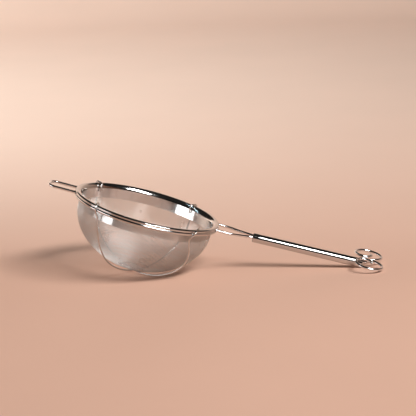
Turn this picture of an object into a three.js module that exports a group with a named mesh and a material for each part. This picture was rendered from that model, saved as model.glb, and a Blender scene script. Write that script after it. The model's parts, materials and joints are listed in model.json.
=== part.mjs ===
// Tea strainer: a fine woven bowl clamped in a rolled rim, carried on a two-wire handle with a
// tubular grip. Millimetres, +Z up. The strainer is drawn level, with the rim's top at z = 0, its
// centre at the origin and the handle along +X, and is then set down on the table as it rests:
// on its two bowl wires and on the lower edge of the grip's far end.

import * as THREE from 'three';

// ---- driving dimensions -------------------------------------------------------------------

const GAP = 0.3; // clearance between pieces that are welded or clamped on the real object

const RIM_OUTER_RADIUS = 60;
const RIM_INNER_RADIUS = 53.7;
const RIM_HEIGHT = 4.9;
const RIM_SHEET = 0.5;
// outside of the rolled sheet as [radius, z]: inner lip, slope, crown, upper roll, groove, lower
// roll, flat seat
const RIM_SKIN = [
  [RIM_INNER_RADIUS, -3.3], [53.95, -2.65], [54.6, -1.6], [55.4, -0.7], [56.2, -0.2],
  [57.2, 0], [58.3, -0.05], [59.1, -0.3], [59.6, -0.8], [59.65, -1.35], [59.4, -1.85],
  [59.4, -2.2], [59.8, -2.65], [RIM_OUTER_RADIUS, -3.25], [59.85, -4.05], [59.25, -4.75],
  [58.2, -RIM_HEIGHT], [55.9, -RIM_HEIGHT], // the seat, which sits on a cup
];

const COLLAR_INNER_RADIUS = 53.9;
const COLLAR_SHEET = 0.4;
const COLLAR_BOTTOM = -11.6;
const CLAMP_TOP = -3.8; // upper edge of collar and mesh, under the rolled rim

const MESH_RADIUS = 55.1; // outside of the woven bowl
const MESH_THICKNESS = 0.5;
const MESH_DEPTH = 53.2; // pole of the bowl below the rim's top
const BOWL_FULLNESS = 1.92; // exponent of the bowl's curve, 2 is an ellipse

const SUPPORT_WIRE = 1.2;
const SUPPORT_HOOK_DEPTH = 6.6;
const SUPPORT_POLE_GAP = 0.35; // upper wire to the mesh, under the bowl
// each wire's two ends: angle round the rim from the handle (degrees), how far the hook leans
// along the rim on its way in (degrees), how far the wire bows out from the mesh on its way down
// (mm) and how far it sways round the bowl (degrees)
const SUPPORT_ENDS = {
  upper: [
    { angle: -47, lean: 13, bulge: 2.9, sway: 7 },
    { angle: 141, lean: 1, bulge: 0.5, sway: 0 },
  ],
  lower: [
    { angle: 50.5, lean: 0, bulge: 1.0, sway: 0 },
    { angle: 231.5, lean: -5.5, bulge: 0.9, sway: 4.5 },
  ],
};

const HANDLE_WIRE = 2.2;
const REST_LOOP_HALF_WIDTH = 9.3;
const REST_LOOP_TIP = -80.9;
const REST_LOOP_CORNER = 5.5;
const FRAME_WIRE_Z = -2.6; // height of the welded wires on the rim

const NECK_HALF_WIDTH = 11.1;
const NECK_BEND_X = 71.1;

const TUBE_OUTER_RADIUS = 3.7;
const TUBE_WALL = 0.35;
const TUBE_START = new THREE.Vector3(88.4, 0, -3.0);
const TUBE_END = new THREE.Vector3(179, 0, -0.2);

const LOOP_RADIUS = 10.7;
const LOOP_CENTRE = new THREE.Vector3(183.4, 0, 4.0);
const LOOP_OFFSET = 12.1; // loop centre to the handle's mid-plane
const LOOP_TWIST = THREE.MathUtils.degToRad(5);
const LOOP_PITCH = THREE.MathUtils.degToRad(-2.4);
const LOOP_TURNS = 1.2;
const LOOP_END_RADIUS = 1.4; // the wire's end curls in to the loop's centre
const LOOP_TAIL_LIFT = 0.9; // and passes over its own start

const RING_SEGMENTS = 64;
const WIRE_SIDES = 8;

// ---- materials ----------------------------------------------------------------------------

const steel = (color, roughness) =>
  new THREE.MeshStandardMaterial({ color, roughness, metalness: 1 });
const polished = steel(0xcdd0d3, 0.12);
const satin = steel(0xc4c7ca, 0.28);
const woven = steel(0xb4b7bb, 0.42);

// ---- helpers ------------------------------------------------------------------------------

const vec3 = (x, y, z) => new THREE.Vector3(x, y, z);

/** A ring or bowl turned about Z from [radius, z] pairs that run round its section. */
function turned(name, section, material) {
  const points = section.map(([r, z]) => new THREE.Vector2(r, z));
  const geometry = new THREE.LatheGeometry(points, RING_SEGMENTS).rotateX(Math.PI / 2);
  const mesh = new THREE.Mesh(geometry, material);
  mesh.name = name;
  return mesh;
}

/** A round wire bent along a curve. */
function wire(name, curve, diameter, steps, material) {
  const section = new THREE.Shape();
  for (let side = 0; side < WIRE_SIDES; side++) {
    const angle = (side / WIRE_SIDES) * 2 * Math.PI;
    const point = [Math.cos(angle) * diameter / 2, Math.sin(angle) * diameter / 2];
    if (side === 0) section.moveTo(...point);
    else section.lineTo(...point);
  }
  section.closePath();
  const options = { steps, extrudePath: curve, bevelEnabled: false };
  const mesh = new THREE.Mesh(new THREE.ExtrudeGeometry(section, options), material);
  mesh.name = name;
  return mesh;
}

const smooth = (points) => new THREE.CatmullRomCurve3(points, false, 'centripetal');

/** Point of the bowl's meridian, offset outwards; turn runs from 0 at the collar to 1 at the pole. */
function bowlPoint(turn, offset) {
  const angle = turn * Math.PI / 2;
  const bulge = 2 / BOWL_FULLNESS;
  const radius = (MESH_RADIUS + offset) * Math.cos(angle) ** bulge;
  const drop = (MESH_DEPTH + COLLAR_BOTTOM + offset) * Math.sin(angle) ** bulge;
  return [turn === 1 ? 0 : radius, COLLAR_BOTTOM - drop];
}

// ---- rim ----------------------------------------------------------------------------------

/** The same line moved to its right-hand side, square to itself at each point. */
function moved(line, distance) {
  return line.map(([r, z], index) => {
    const before = line[Math.max(index - 1, 0)];
    const after = line[Math.min(index + 1, line.length - 1)];
    const run = Math.hypot(after[0] - before[0], after[1] - before[1]);
    const across = [(after[1] - before[1]) / run, (before[0] - after[0]) / run];
    return [r + across[0] * distance, z + across[1] * distance];
  });
}

/** Rolled rim: sheet that runs from the inner lip over the crown and round to the flat seat. */
function rimBead() {
  const section = [...RIM_SKIN, ...moved(RIM_SKIN, RIM_SHEET).reverse()];
  section.push(section[0]);
  return turned('rim_bead', section.reverse(), polished);
}

function collarBand() {
  const outer = COLLAR_INNER_RADIUS + COLLAR_SHEET;
  const section = [
    [COLLAR_INNER_RADIUS, COLLAR_BOTTOM],
    [outer, COLLAR_BOTTOM],
    [outer, CLAMP_TOP],
    [COLLAR_INNER_RADIUS, CLAMP_TOP],
    [COLLAR_INNER_RADIUS, COLLAR_BOTTOM],
  ];
  return turned('collar_band', section, polished);
}

// ---- woven bowl and the wires that carry it ---------------------------------------------------

function meshBowl() {
  const turns = Array.from({ length: 11 }, (_, step) => step / 10);
  const outside = turns.map((turn) => bowlPoint(turn, 0)).reverse();
  const inside = turns.map((turn) => bowlPoint(turn, -MESH_THICKNESS));
  const edge = [[MESH_RADIUS, CLAMP_TOP], [MESH_RADIUS - MESH_THICKNESS, CLAMP_TOP]];
  return turned('mesh_bowl', [...outside, ...edge, ...inside], woven);
}

/** Wire hooked over the rim at both ends and passing under the bowl, clear of it at the pole. */
function supportCurve([start, end], poleGap) {
  const radius = SUPPORT_WIRE / 2;
  const inside = RIM_INNER_RADIUS - GAP - radius - 0.1;
  const top = GAP + radius;
  // radius, z and share of the hook's lean
  const hook = [
    [inside, -SUPPORT_HOOK_DEPTH, 1],
    [inside, -3.6, 1],
    [inside + 0.1, -0.7, 1],
    [inside + 1.7, top - 0.1, 0.85],
    [(RIM_OUTER_RADIUS + RIM_INNER_RADIUS) / 2, top, 0.6],
    [RIM_OUTER_RADIUS - 0.7, top - 0.3, 0.3],
    [RIM_OUTER_RADIUS + top + 0.05, -RIM_HEIGHT / 2, 0.05],
    [RIM_OUTER_RADIUS - 0.6, -RIM_HEIGHT - 1.1, 0],
    [MESH_RADIUS + 2.1, -RIM_HEIGHT - 3.6, 0],
  ];
  const half = ({ angle, lean, bulge, sway }) => {
    const spot = ([r, z], swing) => {
      const direction = THREE.MathUtils.degToRad(angle + swing);
      return vec3(r * Math.cos(direction), r * Math.sin(direction), z);
    };
    const points = hook.map(([r, z, share]) => spot([r, z], lean * share));
    for (let step = 1; step <= 9; step++) {
      const turn = step / 10;
      const bow = 1.7 * Math.sin(turn * Math.PI) * (1 - turn);
      const rise = Math.sin(turn * Math.PI / 2) ** 3;
      const gap = THREE.MathUtils.lerp(GAP, poleGap, rise) + bulge * bow;
      points.push(spot(bowlPoint(turn, radius + gap), sway * bow));
    }
    return points;
  };
  const pole = vec3(0, 0, bowlPoint(1, radius + poleGap)[1]);
  return smooth([...half(start), pole, ...half(end).reverse()]);
}

const supportCurves = {
  upper: supportCurve(SUPPORT_ENDS.upper, SUPPORT_POLE_GAP),
  lower: supportCurve(SUPPORT_ENDS.lower, SUPPORT_POLE_GAP + SUPPORT_WIRE + GAP),
};

// ---- wires welded to the rim --------------------------------------------------------------------

/** Where a wire at this distance from the mid-plane stops short of the rim's outside. */
const rimContact = (halfWidth) => {
  const nearest = halfWidth - HANDLE_WIRE / 2;
  return Math.sqrt(RIM_OUTER_RADIUS ** 2 - nearest ** 2) + GAP;
};

/** U-shaped loop opposite the handle, which hooks on the far side of a cup or pot. */
function restLoopCurve() {
  const width = REST_LOOP_HALF_WIDTH;
  const corner = REST_LOOP_CORNER;
  const start = -rimContact(width);
  const path = new THREE.CurvePath();
  const at = (x, y) => vec3(x, y, FRAME_WIRE_Z);
  path.add(new THREE.LineCurve3(at(start, width), at(REST_LOOP_TIP + corner, width)));
  for (const side of [1, -1]) {
    const leg = at(REST_LOOP_TIP + corner, side * width);
    const tip = at(REST_LOOP_TIP, side * (width - corner));
    const control = [
      at(REST_LOOP_TIP + corner * 0.45, side * width),
      at(REST_LOOP_TIP, side * (width - corner * 0.45)),
    ];
    if (side === 1) {
      path.add(new THREE.CubicBezierCurve3(leg, control[0], control[1], tip));
      path.add(new THREE.LineCurve3(tip, at(REST_LOOP_TIP, corner - width)));
    } else {
      path.add(new THREE.CubicBezierCurve3(tip, control[1], control[0], leg));
    }
  }
  path.add(new THREE.LineCurve3(at(REST_LOOP_TIP + corner, -width), at(start, -width)));
  return path;
}

/** One handle wire: weld at the rim, neck, run through the grip, and the round loop at its end. */
function handleCurve(side) {
  const tubePoint = (share, y, lift) => {
    const point = new THREE.Vector3().lerpVectors(TUBE_START, TUBE_END, share);
    return point.add(vec3(0, side * y, lift));
  };
  const points = [
    vec3(rimContact(NECK_HALF_WIDTH), side * NECK_HALF_WIDTH, FRAME_WIRE_Z),
    vec3(NECK_BEND_X - 4, side * NECK_HALF_WIDTH, FRAME_WIRE_Z),
    vec3(NECK_BEND_X, side * (NECK_HALF_WIDTH - 0.7), FRAME_WIRE_Z),
    vec3(NECK_BEND_X + 4.5, side * (NECK_HALF_WIDTH - 3.6), FRAME_WIRE_Z + side * 0.2),
    vec3(TUBE_START.x - 4.5, side * 2.8, TUBE_START.z + 0.7 + side * 0.5),
    tubePoint(0, 1.5, 0.8 + side * 0.4),
    tubePoint(0.1, 1.45, 0.8 + side * 0.4),
    tubePoint(0.5, 1.3, 1.3),
    tubePoint(0.9, 1.3, 1.4),
    tubePoint(1, 1.3, 1.4),
  ];
  const along = vec3(Math.cos(LOOP_PITCH), 0, -Math.sin(LOOP_PITCH));
  const across = vec3(0, Math.cos(LOOP_TWIST), Math.sin(LOOP_TWIST));
  const up = new THREE.Vector3().crossVectors(along, across);
  for (let step = 0; step <= 24; step++) {
    const turn = 0.06 + step * (LOOP_TURNS - 0.06) / 24;
    const angle = turn * 2 * Math.PI;
    const curl = THREE.MathUtils.smoothstep(turn, 0.84, LOOP_TURNS + 0.02);
    const radius = THREE.MathUtils.lerp(LOOP_RADIUS, LOOP_END_RADIUS, curl);
    const lift = LOOP_TAIL_LIFT * THREE.MathUtils.smoothstep(turn, 0.62, 0.95);
    const point = LOOP_CENTRE.clone()
      .addScaledVector(along, radius * Math.sin(angle))
      .addScaledVector(across, side * (LOOP_OFFSET - radius * Math.cos(angle)))
      .addScaledVector(up, lift);
    points.push(point);
  }
  return smooth(points);
}

const handleCurves = { left: handleCurve(1), right: handleCurve(-1) };

/** Tubular grip round both handle wires, open at both ends. */
function handleTube() {
  const length = TUBE_START.distanceTo(TUBE_END);
  const inner = TUBE_OUTER_RADIUS - TUBE_WALL;
  const lip = 0.25; // rounding of the tube's ends
  const section = [
    [inner, 0],
    [TUBE_OUTER_RADIUS - lip, 0],
    [TUBE_OUTER_RADIUS, lip],
    [TUBE_OUTER_RADIUS, length - lip],
    [TUBE_OUTER_RADIUS - lip, length],
    [inner, length],
    [inner, 0],
  ];
  const points = section.map(([r, y]) => new THREE.Vector2(r, y));
  const tube = new THREE.Mesh(new THREE.LatheGeometry(points, 32), satin);
  tube.name = 'handle_tube';
  tube.position.copy(TUBE_START);
  const direction = TUBE_END.clone().sub(TUBE_START).normalize();
  tube.quaternion.setFromUnitVectors(vec3(0, 1, 0), direction);
  return tube;
}

// ---- assembly -----------------------------------------------------------------------------------

const strainer = new THREE.Group();
strainer.add(
  rimBead(),
  collarBand(),
  meshBowl(),
  wire('support_wire_upper', supportCurves.upper, SUPPORT_WIRE, 96, polished),
  wire('support_wire_lower', supportCurves.lower, SUPPORT_WIRE, 96, polished),
  wire('front_rest_loop', restLoopCurve(), HANDLE_WIRE, 44, polished),
  wire('handle_wire_left', handleCurves.left, HANDLE_WIRE, 100, polished),
  wire('handle_wire_right', handleCurves.right, HANDLE_WIRE, 100, polished),
  handleTube(),
);

// ---- resting pose -------------------------------------------------------------------------------

/** Height of the lowest of some points when the strainer is tilted handle down. */
function lowest(points, tilt) {
  return Math.min(...points.map(({ x, z }) => z * Math.cos(tilt) - x * Math.sin(tilt)));
}

/** Tilt at which the bowl's wires and the handle's end stand on one level. */
function restTilt() {
  const along = (curves) => Object.values(curves).flatMap((curve) => curve.getPoints(400));
  const grip = TUBE_END.clone().sub(TUBE_START).normalize();
  const gripHeel = TUBE_END.clone().addScaledVector(vec3(grip.z, 0, -grip.x), TUBE_OUTER_RADIUS);
  const [supports, loops] = [along(supportCurves), along(handleCurves)];
  let [low, high] = [THREE.MathUtils.degToRad(10), THREE.MathUtils.degToRad(25)];
  for (let halving = 0; halving < 30; halving++) {
    const tilt = (low + high) / 2;
    const bowl = lowest(supports, tilt) - SUPPORT_WIRE / 2;
    const handle = Math.min(lowest(loops, tilt) - HANDLE_WIRE / 2, lowest([gripHeel], tilt));
    if (handle > bowl) low = tilt;
    else high = tilt;
  }
  return (low + high) / 2;
}

strainer.rotation.y = restTilt();
strainer.updateMatrixWorld(true);
const box = new THREE.Box3().setFromObject(strainer, true);
const middle = box.getCenter(new THREE.Vector3());
strainer.position.set(-middle.x, -middle.y, -box.min.z);

const object = new THREE.Group();
object.add(strainer);
object.updateMatrixWorld(true);

export default object;
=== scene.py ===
"""Tea strainer: woven bowl in a rolled rim, hooked bowl wires, front loop and tubular handle.

Every piece is drawn level, with the rim's top at z = 0, its centre at the origin and the handle
along +X, and its mesh is then set down on the table in the tilt that the frame's rim has.
"""

import json
import math

import bmesh
import bpy
import numpy as np
from bpy.props import FloatProperty, FloatVectorProperty, IntProperty, PointerProperty
from mathutils import Matrix, Vector


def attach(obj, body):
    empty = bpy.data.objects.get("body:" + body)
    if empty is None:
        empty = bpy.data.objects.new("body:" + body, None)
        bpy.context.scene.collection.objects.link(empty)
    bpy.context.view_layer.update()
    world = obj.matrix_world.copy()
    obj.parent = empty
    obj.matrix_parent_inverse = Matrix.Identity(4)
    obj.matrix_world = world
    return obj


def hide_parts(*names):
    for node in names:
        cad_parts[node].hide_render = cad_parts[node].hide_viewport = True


bl_info = {
    "name": "Tea Strainer",
    "version": (1, 0, 0),
    "blender": (4, 5, 0),
    "location": "3D View > Sidebar > Strainer",
    "description": "Builds a fine-mesh tea strainer round its packed frame",
    "category": "Add Mesh",
}

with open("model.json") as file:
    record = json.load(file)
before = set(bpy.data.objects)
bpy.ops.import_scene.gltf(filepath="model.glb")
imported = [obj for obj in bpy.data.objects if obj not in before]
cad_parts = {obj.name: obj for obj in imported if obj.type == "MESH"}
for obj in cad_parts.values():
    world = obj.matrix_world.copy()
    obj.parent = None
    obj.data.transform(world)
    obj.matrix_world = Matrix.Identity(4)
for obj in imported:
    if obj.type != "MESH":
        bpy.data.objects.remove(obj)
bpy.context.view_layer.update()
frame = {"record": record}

MM = 0.001
TAU = 2 * math.pi
GAP = 0.3 * MM

# The rim's flat underside in the frame gives the tilt and the place of the level drawing.
SEAT = next(mount for mount in frame["record"]["mounts"] if mount["name"] == "rim_seat")
SEAT_RADIUS = 57.0 * MM
SEAT_DEPTH = 4.9 * MM
REST_TURN = Matrix.Rotation(math.atan2(-SEAT["axis"][0], -SEAT["axis"][2]), 4, "Y")
RIM_CENTRE = Vector(SEAT["pos_m"]) - REST_TURN @ Vector((0, SEAT_RADIUS, -SEAT_DEPTH))
REST = Matrix.Translation(RIM_CENTRE) @ REST_TURN


def length(name, description, default):
    """A size that a user may change."""
    return FloatProperty(
        name=name, description=description, default=default, min=0, unit="LENGTH",
        subtype="DISTANCE", precision=5,
    )


def colour(name, description, default):
    return FloatVectorProperty(
        name=name, description=description, default=default, size=3, min=0, max=1,
        subtype="COLOR",
    )


class RimSettings(bpy.types.PropertyGroup):
    outer_radius: length("Outer radius", "Outside of the rolled rim", 60.0 * MM)
    inner_radius: length("Inner radius", "Inside of the rolled rim", 53.7 * MM)
    height: length("Height", "Height of the rolled rim", 4.9 * MM)
    sheet: length("Sheet", "Thickness of the rim's sheet", 0.5 * MM)
    collar_radius: length("Collar radius", "Inside of the collar", 53.9 * MM)
    collar_sheet: length("Collar sheet", "Thickness of the collar", 0.4 * MM)
    collar_drop: length("Collar drop", "Collar's lower edge under the rim's top", 11.6 * MM)
    clamp_drop: length("Clamp drop", "Top of collar and mesh under the rim's top", 3.4 * MM)


class BowlSettings(bpy.types.PropertyGroup):
    radius: length("Radius", "Outside radius of the woven bowl", 55.1 * MM)
    depth: length("Depth", "Bottom of the bowl under the rim's top", 53.2 * MM)
    thickness: length("Thickness", "Thickness of the cloth", 0.5 * MM)
    fullness: FloatProperty(
        name="Fullness", description="Exponent of the bowl's curve, 2 is an ellipse",
        default=1.92, min=1.5, max=3,
    )
    wire: length("Wire", "Diameter of the woven wire", 0.17 * MM)
    pitch: length("Pitch", "Distance from wire to wire", 0.8 * MM)


class WireSettings(bpy.types.PropertyGroup):
    support: length("Bowl wires", "Diameter of the two wires under the bowl", 1.2 * MM)
    hook_depth: length("Hook depth", "How far the hooks reach into the bowl", 6.6 * MM)
    pole_gap: length("Bowl gap", "Upper wire to the mesh at the bottom", 0.35 * MM)
    frame: length("Frame wire", "Diameter of the handle's wires and the loop", 2.2 * MM)
    weld_height: length("Weld depth", "Welded wires under the rim's top", 2.6 * MM)
    loop_half_width: length("Loop half width", "Half the front loop's width", 9.3 * MM)
    loop_reach: length("Loop reach", "Rim's centre to the loop's tip", 80.9 * MM)
    loop_corner: length("Loop corner", "Length of the loop's bent corners", 5.5 * MM)
    neck_half_width: length("Neck half width", "Half the width at the rim", 11.1 * MM)
    sides: IntProperty(
        name="Sides", description="Sides of a bent wire", default=16, min=8, max=32,
    )


class GripSettings(bpy.types.PropertyGroup):
    outer_radius: length("Outer radius", "Outside of the grip", 3.7 * MM)
    wall: length("Wall", "Wall of the grip's tube", 0.35 * MM)
    end_loop: length("End loop", "Radius of the loops at the end", 10.7 * MM)


class FinishSettings(bpy.types.PropertyGroup):
    polished: colour("Polished steel", "Rim and collar", (0.60, 0.59, 0.58))
    drawn: colour("Drawn wire", "Bent wires", (0.62, 0.61, 0.60))
    tube: colour("Tube steel", "Grip", (0.60, 0.595, 0.59))
    woven: colour("Woven steel", "Wire cloth", (0.74, 0.72, 0.70))


class StageSettings(bpy.types.PropertyGroup):
    floor: colour("Floor", "Paper of the floor and backdrop", (0.78, 0.475, 0.35))
    key: FloatProperty(
        name="Key light", description="Power of the softbox", default=11.5, min=0,
        subtype="POWER",
    )
    side: FloatProperty(
        name="Side light", description="Power of the low panel on the left", default=2.2, min=0,
        subtype="POWER",
    )
    backdrop: FloatProperty(
        name="Backdrop light", description="Power of the softbox that faces the backdrop",
        default=82.0, min=0, subtype="POWER",
    )


# ---- materials ----------------------------------------------------------------------------------


def shader(name, base, metallic=1.0, roughness=0.2, **sockets):
    """A principled material and its node tree; extra sockets are set as constants."""
    material = bpy.data.materials.new(name)
    material.use_nodes = True
    tree = material.node_tree
    surface = tree.nodes["Principled BSDF"]
    surface.inputs["Base Color"].default_value = (*base, 1)
    surface.inputs["Metallic"].default_value = metallic
    surface.inputs["Roughness"].default_value = roughness
    for socket, value in sockets.items():
        surface.inputs[socket.replace("_", " ")].default_value = value
    material.diffuse_color = (*base, 1)
    return material, tree, surface


def add(tree, kind, **values):
    """A node with its properties (lower case) and its input sockets (by name) set."""
    node = tree.nodes.new(kind)
    for key, value in values.items():
        if hasattr(node, key):
            setattr(node, key, value)
        else:
            node.inputs[key.replace("_", " ")].default_value = value
    return node


def object_pattern(tree, scale=(1, 1, 1), turn=(0, 0, 0)):
    """Object coordinates, turned and stretched for a pattern."""
    place = add(tree, "ShaderNodeTexCoord")
    mapping = add(tree, "ShaderNodeMapping", Scale=scale, Rotation=turn)
    tree.links.new(place.outputs["Object"], mapping.inputs["Vector"])
    return mapping.outputs["Vector"]


def noise(tree, vector, scale, detail=3.0, roughness=0.5):
    node = add(tree, "ShaderNodeTexNoise", Scale=scale, Detail=detail, Roughness=roughness)
    tree.links.new(vector, node.inputs["Vector"])
    return node.outputs["Fac"]


def spread(tree, value, low, high):
    """A factor spread from low to high."""
    node = add(tree, "ShaderNodeMapRange")
    node.inputs["From Min"].default_value = 0.3
    node.inputs["From Max"].default_value = 0.7
    node.inputs["To Min"].default_value = low
    node.inputs["To Max"].default_value = high
    tree.links.new(value, node.inputs["Value"])
    return node.outputs["Result"]


def tinted(tree, surface, value, dark, light):
    """Colour that varies between two tones of the metal."""
    ramp = add(tree, "ShaderNodeValToRGB")
    ramp.color_ramp.elements[0].position = 0.3
    ramp.color_ramp.elements[0].color = (*dark, 1)
    ramp.color_ramp.elements[1].position = 0.7
    ramp.color_ramp.elements[1].color = (*light, 1)
    tree.links.new(value, ramp.inputs["Fac"])
    tree.links.new(ramp.outputs["Color"], surface.inputs["Base Color"])


def bumped(tree, surface, *layers):
    """Stacks bumps, each given as (height, distance in metres)."""
    normal = None
    for height, distance in layers:
        bump = add(tree, "ShaderNodeBump", Strength=1.0, Distance=distance)
        tree.links.new(height, bump.inputs["Height"])
        if normal:
            tree.links.new(normal, bump.inputs["Normal"])
        normal = bump.outputs["Normal"]
    tree.links.new(normal, surface.inputs["Normal"])


def shade(base, factor):
    return tuple(channel * factor for channel in base)


def polished_steel(settings):
    """Rolled and polished sheet: mirror bright with soft waves and faint wiping marks."""
    base = tuple(settings.polished)
    material, tree, surface = shader("polished_steel", base, roughness=0.1)
    vector = object_pattern(tree)
    waves = noise(tree, vector, 55, detail=2)
    marks = noise(tree, object_pattern(tree, (1, 1, 14)), 260, detail=4, roughness=0.6)
    tinted(tree, surface, noise(tree, vector, 90), shade(base, 0.93), shade(base, 1.04))
    tree.links.new(spread(tree, marks, 0.07, 0.15), surface.inputs["Roughness"])
    bumped(tree, surface, (waves, 0.00012), (marks, 0.000004))
    return material


def drawn_wire(settings):
    """Bright drawn wire with fine die lines and a little staining."""
    base = tuple(settings.drawn)
    material, tree, surface = shader("drawn_wire", base, roughness=0.12)
    vector = object_pattern(tree)
    stains = noise(tree, vector, 120, detail=3)
    grain = noise(tree, vector, 2400, detail=2)
    tinted(tree, surface, stains, shade(base, 0.9), shade(base, 1.04))
    tree.links.new(spread(tree, stains, 0.05, 0.1), surface.inputs["Roughness"])
    bumped(tree, surface, (noise(tree, vector, 180), 0.00002), (grain, 0.000001))
    return material


def tube_steel(settings):
    """Polished tube with drawing lines along its length."""
    base = tuple(settings.tube)
    material, tree, surface = shader("tube_steel", base, roughness=0.08)
    start, end = (REST @ point for point in grip_ends())
    slope = math.atan2(end.z - start.z, end.x - start.x)
    lines = noise(tree, object_pattern(tree, (12, 900, 900), (0, slope, 0)), 3, detail=3)
    smears = noise(tree, object_pattern(tree, (0.3, 1, 1), (0, slope, 0)), 160, detail=3)
    tinted(tree, surface, smears, shade(base, 0.93), shade(base, 1.04))
    tree.links.new(spread(tree, smears, 0.06, 0.11), surface.inputs["Roughness"])
    bumped(tree, surface, (smears, 0.000008), (lines, 0.000001))
    return material


def woven_steel(settings):
    """Fine wire of the cloth, slightly dulled and uneven."""
    base = tuple(settings.woven)
    material, tree, surface = shader("woven_steel", base, roughness=0.3)
    vector = object_pattern(tree)
    patches = noise(tree, vector, 45, detail=3)
    tinted(tree, surface, patches, shade(base, 0.95), shade(base, 1.04))
    tree.links.new(spread(tree, patches, 0.26, 0.34), surface.inputs["Roughness"])
    bumped(tree, surface, (noise(tree, vector, 3000, detail=1), 0.000002))
    return material


def floor_paper(settings):
    """Matt seamless paper with a barely visible grain."""
    base = tuple(settings.floor)
    material, tree, surface = shader("floor_paper", base, metallic=0, roughness=0.62)
    vector = object_pattern(tree)
    tinted(tree, surface, noise(tree, vector, 6, detail=4), shade(base, 0.985), shade(base, 1.01))
    bumped(tree, surface, (noise(tree, vector, 900, detail=2), 0.00003))
    return material


# ---- shapes -------------------------------------------------------------------------------------


def finished(name, mesh, material, node, place=REST):
    """Sets the mesh down as it rests, gives it its finish and puts it in the frame."""
    mesh.name = name
    mesh.transform(place)
    mesh.update()
    mesh.materials.clear()
    mesh.materials.append(material)
    piece = bpy.data.objects.new(name, mesh)
    bpy.context.scene.collection.objects.link(piece)
    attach(piece, "root")
    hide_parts(node)
    return piece


def spun(section, steps, crease=math.radians(40)):
    """A closed section of (radius, z) pairs spun about Z, as a mesh."""
    bm = bmesh.new()
    corners = [bm.verts.new((radius, 0, z)) for radius, z in section]
    ring = [bm.edges.new(pair) for pair in zip(corners, corners[1:] + corners[:1])]
    bmesh.ops.spin(
        bm, geom=corners + ring, cent=(0, 0, 0), axis=(0, 0, 1), angle=TAU, steps=steps,
        use_merge=True,
    )
    bmesh.ops.remove_doubles(bm, verts=bm.verts, dist=1e-7)
    bmesh.ops.recalc_face_normals(bm, faces=bm.faces)
    mesh = bpy.data.meshes.new("spun")
    bm.to_mesh(mesh)
    bm.free()
    mesh.shade_smooth()
    mesh.set_sharp_from_angle(angle=crease)
    return mesh


def smooth_path(points, steps):
    """A centripetal Catmull-Rom curve through the points, sampled between each two of them."""
    ends = [2 * points[0] - points[1], *points, 2 * points[-1] - points[-2]]
    path = []
    for a, b, c, d in zip(ends, ends[1:], ends[2:], ends[3:]):
        before, span, after = ((q - p).length ** 0.5 for p, q in ((a, b), (b, c), (c, d)))
        leave = (b - a) / before - (c - a) / (before + span) + (c - b) / span
        arrive = (c - b) / span - (d - b) / (span + after) + (d - c) / after
        for step in range(steps):
            t = step / steps
            path.append(
                (2 * t**3 - 3 * t**2 + 1) * b + (t**3 - 2 * t**2 + t) * span * leave
                + (3 * t**2 - 2 * t**3) * c + (t**3 - t**2) * span * arrive
            )
    return [*path, points[-1].copy()]


def bevel_curve(runs, radius, resolution):
    """A mesh of round wires, one for each run of (points, widths)."""
    curve = bpy.data.curves.new("wires", "CURVE")
    curve.dimensions = "3D"
    curve.bevel_depth = radius
    curve.bevel_resolution = resolution
    curve.use_fill_caps = True
    curve.twist_mode = "MINIMUM"
    for points, widths in runs:
        spline = curve.splines.new("POLY")
        spline.points.add(len(points) - 1)
        spline.points.foreach_set("co", np.c_[points, np.ones(len(points))].ravel())
        spline.points.foreach_set("radius", widths)
        spline.use_smooth = True
    holder = bpy.data.objects.new("wires", curve)
    mesh = bpy.data.meshes.new_from_object(holder)
    bpy.data.objects.remove(holder)
    bpy.data.curves.remove(curve)
    return mesh


def bent_wire(points, diameter, sides, start=1.0, end=1.0, reach=1.0):
    """A round wire; start and end are the widths of its ends, reached over so many radii."""
    radius = diameter / 2
    along = np.array([tuple(point) for point in points])
    run = np.r_[0, np.cumsum(np.linalg.norm(np.diff(along, axis=0), axis=1))]
    widths = np.ones(len(run))
    for width, away in ((start, run), (end, run[-1] - run)):
        share = np.clip(away / (reach * radius), 0, 1)
        if width < 1:
            widths = np.minimum(widths, width + (1 - width) * np.sqrt(share * (2 - share)))
        else:
            widths = np.maximum(widths, width + (1 - width) * share * (2 - share))
    return bevel_curve([(along, widths)], radius, sides // 2 - 2)


def with_ends(points, radius, steps=6):
    """Adds close points near both ends, so that rounded or flared ends are smooth."""
    shares = [0.5 * (1 - math.cos(math.pi / 2 * step / steps)) for step in range(1, steps)]
    first, last = points[0], points[-1]
    lead = (points[1] - first).normalized() * radius * 2
    tail = (points[-2] - last).normalized() * radius * 2
    body = [
        point for point in points[1:-1]
        if (point - first).length > lead.length and (point - last).length > tail.length
    ]
    head = [first + lead * share for share in shares]
    heel = [last + tail * share for share in reversed(shares)]
    return [first, *head, *body, *heel, last]


# ---- rim and collar -----------------------------------------------------------------------------


# Outside of the rolled sheet as shares of the rim's width (from its inner radius) and height
# (from its top): inner lip, slope, crown, upper roll, groove, lower roll and flat seat.
RIM_SKIN = (
    (0, 0.673), (0.04, 0.541), (0.143, 0.327), (0.27, 0.143), (0.397, 0.041), (0.556, 0),
    (0.73, 0.01), (0.857, 0.061), (0.937, 0.163), (0.944, 0.276), (0.905, 0.378), (0.905, 0.449),
    (0.968, 0.541), (1, 0.663), (0.976, 0.827), (0.881, 0.969), (0.714, 1),
)
RIM_SEAT_INNER = 0.349


def rim_section(rim):
    """Closed outline of the rolled sheet, smooth from the inner lip round to the seat."""
    width = rim.outer_radius - rim.inner_radius

    def place(out, down):
        return Vector((rim.inner_radius + out * width, -down * rim.height, 0))

    skin = smooth_path([place(*spot) for spot in RIM_SKIN], 4)
    skin.append(place(RIM_SEAT_INNER, 1))
    inside = []
    for before, here, after in zip(skin[:1] + skin, skin, skin[1:] + skin[-1:]):
        run = (after - before).normalized()
        inside.append(here + Vector((run.y, -run.x, 0)) * rim.sheet)
    return [(spot.x, spot.y) for spot in skin + inside[::-1]]


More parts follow.
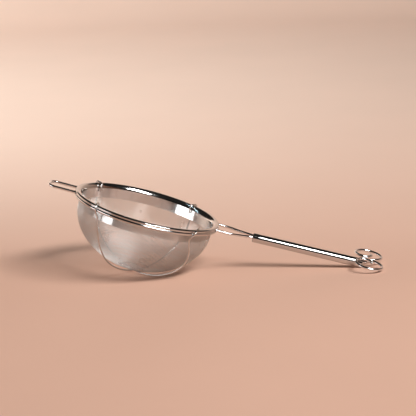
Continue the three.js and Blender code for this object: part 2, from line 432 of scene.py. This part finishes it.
class STRAINER_OT_rim(bpy.types.Operator):
    """Rolls the rim that holds the edge of the bowl"""

    bl_idname = "strainer.rim"
    bl_label = "Rolled rim"

    def execute(self, context):
        rim = context.scene.strainer_rim
        finish = polished_steel(context.scene.strainer_finish)
        mesh = spun(rim_section(rim), 288)
        finished("rim", mesh, finish, "rim_bead")
        return {"FINISHED"}


class STRAINER_OT_collar(bpy.types.Operator):
    """Bends the collar that lines the top of the bowl"""

    bl_idname = "strainer.collar"
    bl_label = "Collar"

    def execute(self, context):
        rim = context.scene.strainer_rim
        inner, outer = rim.collar_radius, rim.collar_radius + rim.collar_sheet
        low, high = -rim.collar_drop, -rim.clamp_drop
        edge = rim.collar_sheet * 0.3
        section = [
            (inner, low + edge), (inner + edge, low), (outer - edge, low), (outer, low + edge),
            (outer, high), (inner, high),
        ]
        finish = bpy.data.materials["polished_steel"]
        finished("collar", spun(section, 256), finish, "collar_band")
        return {"FINISHED"}


# ---- woven bowl ---------------------------------------------------------------------------------


class BowlSurface:
    """The middle of the cloth: a superellipse under the collar and a cylinder behind it."""

    def __init__(self, bowl, rim):
        offset = -bowl.thickness / 2
        self.seam = -rim.collar_drop
        bulge = 2 / bowl.fullness
        angle = np.linspace(math.pi / 2, 0, 600)
        radius = (bowl.radius + offset) * np.abs(np.cos(angle)) ** bulge
        radius[0] = 0
        z = self.seam - (bowl.depth - rim.collar_drop + offset) * np.sin(angle) ** bulge
        rise = np.linspace(0, bowl.radius, 100)[1:]
        self.radius = np.r_[radius, np.full(rise.size, radius[-1])]
        self.z = np.r_[z, self.seam + rise]
        self.run = np.r_[0, np.cumsum(np.hypot(np.diff(self.radius), np.diff(self.z)))]
        self.low = angle.size
        self.aim = np.arctan2(self.seam - z, radius)
        self.edge = self.run[self.low - 1] + rim.collar_drop - rim.clamp_drop

    def at(self, x, y, run):
        """Points over (x, y), whatever its length, at a distance along the bowl from its pole."""
        scale = np.interp(run, self.run, self.radius) / np.maximum(np.hypot(x, y), 1e-12)
        return np.stack([x * scale, y * scale, np.interp(run, self.run, self.z)], -1)

    def drop(self, points):
        """Points dropped onto the bowl, and their distance from its pole."""
        x, y, rise = points[..., 0], points[..., 1], points[..., 2] - self.seam
        aim = np.arctan2(-rise, np.hypot(x, y))
        low = np.interp(-aim, -self.aim, self.run[: self.low])
        run = np.where(rise < 0, low, self.run[self.low - 1] + rise)
        return self.at(x, y, run), run

    def outward(self, points, run):
        """Unit normals that point out of the bowl."""
        step = np.gradient(self.run)
        lean = np.interp(run, self.run, np.gradient(self.z) / step)
        fall = np.interp(run, self.run, -np.gradient(self.radius) / step)
        across = points[..., :2] / np.maximum(np.hypot(*points[..., :2].T).T, 1e-12)[..., None]
        normal = np.concatenate([across * lean[..., None], fall[..., None]], -1)
        return normal / np.linalg.norm(normal, axis=-1, keepdims=True)


SHEAR = 0.62  # how far the cloth gives way by shear, the rest by closing up its wires


def sheared_quarter(surface, pitch, count):
    """A quarter of a cloth whose wires keep their pitch, from the pole out along X and Y."""
    cloth = np.zeros((count, count, 3))
    steps, still = np.arange(count) * pitch, np.zeros(count)
    cloth[:, 0] = surface.at(np.ones(count), still, steps)
    cloth[0, :] = surface.at(still, np.ones(count), steps)
    for diagonal in range(2, 2 * count - 1):
        i = np.arange(max(1, diagonal - count + 1), min(count, diagonal))
        j = diagonal - i
        before, beside = cloth[i - 1, j], cloth[i, j - 1]
        spot = before + beside - cloth[i - 1, j - 1]
        for _ in range(12):
            for corner in (before, beside):
                away = spot - corner
                reach = np.linalg.norm(away, axis=-1, keepdims=True)
                spot = spot + (pitch - reach) * 0.6 * away / np.maximum(reach, 1e-9)
            spot = surface.drop(spot)[0]
        cloth[i, j] = spot
    return cloth


def draped_cloth(surface, pitch):
    """Crossings of a square cloth pressed over the bowl, its wires along and across the handle."""
    count = int(surface.edge / pitch) + 4
    x, y = np.meshgrid(*[np.arange(count) * pitch] * 2, indexing="ij")
    closed = surface.at(x, y, np.hypot(x, y))
    quarter = surface.drop(closed + SHEAR * (sheared_quarter(surface, pitch, count) - closed))[0]
    half = np.concatenate([quarter[:0:-1] * (-1, 1, 1), quarter])
    return np.concatenate([half[:, :0:-1] * (1, -1, 1), half], 1)


def trimmed(points, run, edge):
    """The part of a wire inside the cloth's edge, with its ends cut exactly there."""
    inside = np.flatnonzero(run < edge)
    if inside.size < 3:
        return None
    low, high = inside[0], inside[-1]
    part = [points[low:high + 1]]
    if low > 0:
        share = (edge - run[low]) / (run[low - 1] - run[low])
        part.insert(0, (points[low] + share * (points[low - 1] - points[low]))[None])
    if high < len(run) - 1:
        share = (edge - run[high]) / (run[high + 1] - run[high])
        part.append((points[high] + share * (points[high + 1] - points[high]))[None])
    return np.concatenate(part)


class STRAINER_OT_bowl(bpy.types.Operator):
    """Weaves the bowl from two sets of crossing wires and presses it to shape"""

    bl_idname = "strainer.bowl"
    bl_label = "Woven bowl"

    def execute(self, context):
        bowl, rim = context.scene.strainer_bowl, context.scene.strainer_rim
        surface = BowlSurface(bowl, rim)
        cloth = draped_cloth(surface, bowl.pitch)
        cloth, run = surface.drop(cloth)
        out = surface.outward(cloth, run)
        rows, columns = np.indices(run.shape)
        over = np.where((rows + columns) % 2, 1, -1)[..., None] * bowl.wire * 0.52
        finish = woven_steel(context.scene.strainer_finish)
        for name, points, reach in (
            ("warp", cloth + out * over, run),
            ("weft", (cloth - out * over).swapaxes(0, 1), run.T),
        ):
            half = len(points) // 2
            for side, wires in (("near", range(half)), ("far", range(half, len(points)))):
                runs = [trimmed(points[wire], reach[wire], surface.edge) for wire in wires]
                runs = [(wire, np.ones(len(wire))) for wire in runs if wire is not None]
                mesh = bevel_curve(runs, bowl.wire / 2, 0)
                mesh.shade_smooth()
                finished(f"bowl_{name}_{side}", mesh, finish, "mesh_bowl")
        return {"FINISHED"}


# ---- bowl wires ---------------------------------------------------------------------------------

# The two ends of each wire: angle round the rim from the handle (degrees), how far the hook leans
# along the rim on its way in (degrees), how far the wire bows out from the mesh on its way down
# (mm) and how far it sways round the bowl (degrees).
SUPPORT_ENDS = {
    "upper": ((-47, 13, 2.9, 7), (141, 1, 0.5, 0)),
    "lower": ((50.5, 0, 1.0, 0), (231.5, -5.5, 0.9, 4.5)),
}


def support_path(ends, rim, bowl, wires, pole_gap):
    """A wire hooked over the rim at both ends, passing under the bowl."""
    radius = wires.support / 2
    inside = rim.inner_radius - GAP - radius - 0.1 * MM
    top = GAP + radius
    # radius, z and share of the hook's lean
    hook = (
        (inside, -wires.hook_depth, 1),
        (inside, -3.6 * MM, 1),
        (inside + 0.1 * MM, -0.7 * MM, 1),
        (inside + 1.7 * MM, top - 0.1 * MM, 0.85),
        ((rim.outer_radius + rim.inner_radius) / 2, top, 0.6),
        (rim.outer_radius - 0.7 * MM, top - 0.3 * MM, 0.3),
        (rim.outer_radius + top + 0.05 * MM, -rim.height / 2, 0.05),
        (rim.outer_radius - 0.6 * MM, -rim.height - 1.1 * MM, 0),
        (bowl.radius + 2.1 * MM, -rim.height - 3.6 * MM, 0),
    )
    bulge_power = 2 / bowl.fullness

    def meridian(turn, offset):
        angle = turn * math.pi / 2
        out = (bowl.radius + offset) * math.cos(angle) ** bulge_power if turn < 1 else 0
        drop = (bowl.depth - rim.collar_drop + offset) * math.sin(angle) ** bulge_power
        return out, -rim.collar_drop - drop

    def spot(place, degrees):
        angle = math.radians(degrees)
        return Vector((place[0] * math.cos(angle), place[0] * math.sin(angle), place[1]))

    halves = []
    for angle, lean, bulge, sway in ends:
        points = [spot(place, angle + lean * place[2]) for place in hook]
        for step in range(1, 10):
            turn = step / 10
            bow = 1.7 * math.sin(turn * math.pi) * (1 - turn)
            rise = math.sin(turn * math.pi / 2) ** 3
            gap = GAP + (pole_gap - GAP) * rise + bulge * bow * MM
            points.append(spot(meridian(turn, radius + gap), angle + sway * bow))
        halves.append(points)
    pole = Vector((0, 0, meridian(1, radius + pole_gap)[1]))
    return smooth_path([*halves[0], pole, *reversed(halves[1])], 10)


class STRAINER_OT_supports(bpy.types.Operator):
    """Bends the two wires that hook over the rim and cross under the bowl"""

    bl_idname = "strainer.supports"
    bl_label = "Bowl wires"

    def execute(self, context):
        scene = context.scene
        rim, bowl, wires = scene.strainer_rim, scene.strainer_bowl, scene.strainer_wires
        finish = drawn_wire(scene.strainer_finish)
        gaps = {"upper": wires.pole_gap, "lower": wires.pole_gap + wires.support + GAP}
        for name, ends in SUPPORT_ENDS.items():
            path = with_ends(support_path(ends, rim, bowl, wires, gaps[name]), wires.support / 2)
            mesh = bent_wire(path, wires.support, wires.sides, start=0.45, end=0.45)
            node = f"support_wire_{name}"
            finished(f"bowl_wire_{name}", mesh, finish, node)
        return {"FINISHED"}


# ---- wires welded to the rim --------------------------------------------------------------------


def weld_start(half_width, rim, wires):
    """Where a wire at this distance from the middle sinks into the rim's outside."""
    return math.sqrt(rim.outer_radius**2 - half_width**2) - 0.9 * MM


class STRAINER_OT_front_loop(bpy.types.Operator):
    """Bends the loop opposite the handle and welds it to the rim"""

    bl_idname = "strainer.front_loop"
    bl_label = "Front loop"

    def execute(self, context):
        rim, wires = context.scene.strainer_rim, context.scene.strainer_wires
        width, corner, tip = wires.loop_half_width, wires.loop_corner, -wires.loop_reach
        start = -weld_start(width, rim, wires)

        def at(x, y):
            return Vector((x, y, -wires.weld_height))

        half = [at(start + (tip + corner - start) * step / 6, width) for step in range(6)]
        leg, end = at(tip + corner, width), at(tip, width - corner)
        pulls = at(tip + corner * 0.45, width), at(tip, width - corner * 0.45)
        for step in range(25):
            t = step / 24
            half.append(
                (1 - t)**3 * leg + 3 * t * (1 - t)**2 * pulls[0] + 3 * t * t * (1 - t) * pulls[1]
                + t**3 * end
            )
        path = half + [Vector((point.x, -point.y, point.z)) for point in reversed(half)]
        radius = wires.frame / 2
        path = with_ends(path, radius)
        mesh = bent_wire(path, wires.frame, wires.sides, start=1.3, end=1.3, reach=1.8)
        finish = bpy.data.materials["drawn_wire"]
        finished("front_loop", mesh, finish, "front_rest_loop")
        return {"FINISHED"}


NECK_BEND = 71.1 * MM
LOOP_CENTRE = Vector((183.4, 0, 4.0)) * MM
LOOP_OFFSET = 12.1 * MM  # loop centre to the handle's mid-plane
LOOP_TWIST = math.radians(5)
LOOP_PITCH = math.radians(-2.4)
LOOP_TURNS = 1.2
LOOP_END_RADIUS = 1.4 * MM  # the wire's end curls in to the loop's centre
LOOP_TAIL_LIFT = 0.9 * MM  # and passes over its own start


def grip_ends():
    """Both ends of the grip's axis."""
    return Vector((88.4, 0, -3.0)) * MM, Vector((179, 0, -0.2)) * MM


def smoothstep(value, low, high):
    share = min(max((value - low) / (high - low), 0), 1)
    return share * share * (3 - 2 * share)


def handle_path(side, rim, wires, grip):
    """One handle wire: weld at the rim, neck, run through the grip, and the loop at its end."""
    start, end = grip_ends()
    width, level = wires.neck_half_width, -wires.weld_height

    def inside(share, y, lift):
        return start.lerp(end, share) + Vector((0, side * y, lift)) * MM

    def neck(x, y, z):
        return Vector((x, side * y, z))

    points = [
        neck(weld_start(width, rim, wires), width, level),
        neck(NECK_BEND - 4 * MM, width, level),
        neck(NECK_BEND, width - 0.7 * MM, level),
        neck(NECK_BEND + 4.5 * MM, width - 3.6 * MM, level + side * 0.2 * MM),
        neck(start.x - 4.5 * MM, 2.8 * MM, start.z + (0.7 + side * 0.5) * MM),
        inside(0, 1.5, 0.8 + side * 0.4),
        inside(0.1, 1.45, 0.8 + side * 0.4),
        inside(0.5, 1.3, 1.3),
        inside(0.9, 1.3, 1.4),
        inside(1, 1.3, 1.4),
    ]
    along = Vector((math.cos(LOOP_PITCH), 0, -math.sin(LOOP_PITCH)))
    across = Vector((0, math.cos(LOOP_TWIST), math.sin(LOOP_TWIST)))
    up = along.cross(across)
    for step in range(25):
        turn = 0.06 + step * (LOOP_TURNS - 0.06) / 24
        curl = smoothstep(turn, 0.84, LOOP_TURNS + 0.02)
        radius = grip.end_loop + (LOOP_END_RADIUS - grip.end_loop) * curl
        lift = LOOP_TAIL_LIFT * smoothstep(turn, 0.62, 0.95)
        points.append(
            LOOP_CENTRE + along * radius * math.sin(TAU * turn)
            + across * side * (LOOP_OFFSET - radius * math.cos(TAU * turn)) + up * lift
        )
    return smooth_path(points, 6)


class STRAINER_OT_handle(bpy.types.Operator):
    """Bends the two handle wires and the loops at their ends"""

    bl_idname = "strainer.handle"
    bl_label = "Handle wires"

    def execute(self, context):
        scene = context.scene
        wires = scene.strainer_wires
        finish = bpy.data.materials["drawn_wire"]
        for name, side in (("left", 1), ("right", -1)):
            path = handle_path(side, scene.strainer_rim, wires, scene.strainer_grip)
            path = with_ends(path, wires.frame / 2)
            mesh = bent_wire(path, wires.frame, wires.sides, start=1.3, end=0.5)
            node = f"handle_wire_{name}"
            finished(node.replace("handle", "grip"), mesh, finish, node)
        return {"FINISHED"}


class STRAINER_OT_grip(bpy.types.Operator):
    """Draws the tube that is pressed round both handle wires"""

    bl_idname = "strainer.grip"
    bl_label = "Grip tube"

    def execute(self, context):
        grip = context.scene.strainer_grip
        start, end = grip_ends()
        reach, outer, wall = (end - start).length, grip.outer_radius, grip.wall
        lip = wall / 2
        turns = [math.pi * step / 8 for step in range(9)]
        middle = outer - lip
        section = [(middle - lip * math.cos(t), lip - lip * math.sin(t)) for t in turns]
        section += [(outer, reach * step / 12) for step in range(1, 12)]
        section += [(middle + lip * math.cos(t), reach - lip + lip * math.sin(t)) for t in turns]
        section += [(outer - wall, reach * step / 12) for step in range(11, 0, -1)]
        place = REST @ Matrix.Translation(start)
        place = place @ (end - start).to_track_quat("Z", "Y").to_matrix().to_4x4()
        finish = tube_steel(context.scene.strainer_finish)
        mesh = spun(section, 72)
        finished("grip_tube", mesh, finish, "handle_tube", place)
        return {"FINISHED"}


# ---- stage --------------------------------------------------------------------------------------

CAMERA_PLACE = Vector((65.554, -1422.246, 356.764)) * MM
CAMERA_TURN = tuple(math.radians(angle) for angle in (77.9127, 1.8461, 2.4959))
CAMERA_LENS = 156.417

STUDIO_RADIUS = 2.4
SWEEP_RADIUS = 0.6  # the floor curves up into the wall
STUDIO_HEIGHT = 1.0
STUDIO_ARC = math.radians(230)  # how far the wall goes round, open towards the camera
STUDIO_DARK = (0.02, 0.018, 0.016)

# Each softbox: place, point it is aimed at, size (metres), tint and spread (degrees).
LIGHTS = {
    "key": ((0.73, -0.82, 1.18), (-0.45, 0.5, 0), (0.95, 0.38), (1, 1, 1), 105),
    "side": ((-1.05, -0.34, 0.13), (0, 0, 0.06), (0.74, 0.26), (1, 1, 1), 180),
    "backdrop": ((-1.1, 0.3, 1.3), (-0.9, 2.4, 1.0), (1.4, 0.7), (0.64, 0.88, 1.0), 180),
}


def softbox(name, place, aim, size, power, tint, spread):
    """A rectangular area light at a place, aimed at a point; its spread is in degrees."""
    light = bpy.data.lights.new(name, "AREA")
    light.shape = "RECTANGLE"
    light.size, light.size_y = size
    light.energy = power
    light.color = tint
    light.spread = math.radians(spread)
    lamp = bpy.data.objects.new(name, light)
    lamp.location = place
    lamp.rotation_euler = (Vector(aim) - Vector(place)).to_track_quat("-Z", "Y").to_euler()
    bpy.context.scene.collection.objects.link(lamp)


class STRAINER_OT_stage(bpy.types.Operator):
    """Lays the paper floor, hangs the lights and sets the camera"""

    bl_idname = "strainer.stage"
    bl_label = "Stage"

    def execute(self, context):
        scene, settings = context.scene, context.scene.strainer_stage
        bm = bmesh.new()
        foot = STUDIO_RADIUS - SWEEP_RADIUS
        line = [Vector((foot * step / 6, 0, 0)) for step in range(7)]
        front = [*line, Vector((STUDIO_RADIUS * 1.5, 0, 0))]
        for step in range(1, 17):
            turn = math.pi / 2 * step / 16
            rise = SWEEP_RADIUS * (1 - math.cos(turn))
            line.append(Vector((foot + SWEEP_RADIUS * math.sin(turn), 0, rise)))
        line.append(Vector((STUDIO_RADIUS, 0, STUDIO_HEIGHT)))
        start = math.pi / 2 - STUDIO_ARC / 2
        for outline, first, arc in (
            (line, start, STUDIO_ARC), (front, start + STUDIO_ARC, TAU - STUDIO_ARC),
        ):
            turn = Matrix.Rotation(first, 4, "Z")
            corners = [bm.verts.new(turn @ spot) for spot in outline]
            edges = [bm.edges.new(pair) for pair in zip(corners, corners[1:])]
            bmesh.ops.spin(
                bm, geom=corners + edges, cent=(0, 0, 0), axis=(0, 0, 1), angle=arc, steps=64,
            )
        bmesh.ops.remove_doubles(bm, verts=bm.verts, dist=1e-6)
        bmesh.ops.recalc_face_normals(bm, faces=bm.faces)
        mesh = bpy.data.meshes.new("floor")
        bm.to_mesh(mesh)
        bm.free()
        mesh.shade_smooth()
        mesh.materials.append(floor_paper(settings))
        floor = bpy.data.objects.new("floor", mesh)
        scene.collection.objects.link(floor)

        for name, (place, aim, size, tint, spread) in LIGHTS.items():
            softbox(name, place, aim, size, getattr(settings, name), tint, spread)
        world = bpy.data.worlds.new("studio")
        world.use_nodes = True
        world.node_tree.nodes["Background"].inputs["Color"].default_value = (*STUDIO_DARK, 1)
        scene.world = world

        lens = bpy.data.cameras.new("camera")
        lens.lens = CAMERA_LENS
        lens.sensor_width = 36
        lens.clip_end = 50
        camera = bpy.data.objects.new("camera", lens)
        camera.location = CAMERA_PLACE
        camera.rotation_euler = CAMERA_TURN
        scene.collection.objects.link(camera)
        scene.camera = camera
        scene.view_settings.view_transform = "Standard"
        return {"FINISHED"}


# ---- add-on -------------------------------------------------------------------------------------

SETTINGS = {
    "strainer_rim": RimSettings,
    "strainer_bowl": BowlSettings,
    "strainer_wires": WireSettings,
    "strainer_grip": GripSettings,
    "strainer_finish": FinishSettings,
    "strainer_stage": StageSettings,
}
OPERATORS = (
    STRAINER_OT_stage,
    STRAINER_OT_rim,
    STRAINER_OT_collar,
    STRAINER_OT_bowl,
    STRAINER_OT_supports,
    STRAINER_OT_front_loop,
    STRAINER_OT_handle,
    STRAINER_OT_grip,
)


class STRAINER_PT_panel(bpy.types.Panel):
    """Sizes, finishes and steps of the tea strainer"""

    bl_idname = "STRAINER_PT_panel"
    bl_label = "Tea strainer"
    bl_space_type = "VIEW_3D"
    bl_region_type = "UI"
    bl_category = "Strainer"

    def draw(self, context):
        for key, group in SETTINGS.items():
            box = self.layout.box()
            box.label(text=key.split("_")[1].title())
            for name in group.__annotations__:
                box.prop(getattr(context.scene, key), name)
        column = self.layout.column()
        for operator in OPERATORS:
            column.operator(operator.bl_idname)


def register():
    for item in (*SETTINGS.values(), *OPERATORS, STRAINER_PT_panel):
        bpy.utils.register_class(item)
    for key, group in SETTINGS.items():
        setattr(bpy.types.Scene, key, PointerProperty(type=group))


def unregister():
    for key in SETTINGS:
        delattr(bpy.types.Scene, key)
    for item in (STRAINER_PT_panel, *reversed(OPERATORS), *reversed(SETTINGS.values())):
        bpy.utils.unregister_class(item)


def main():
    register()
    bpy.ops.strainer.stage()
    bpy.ops.strainer.rim()
    bpy.ops.strainer.collar()
    bpy.ops.strainer.bowl()
    bpy.ops.strainer.supports()
    bpy.ops.strainer.front_loop()
    bpy.ops.strainer.handle()
    bpy.ops.strainer.grip()


if __name__ == "__main__":
    main()
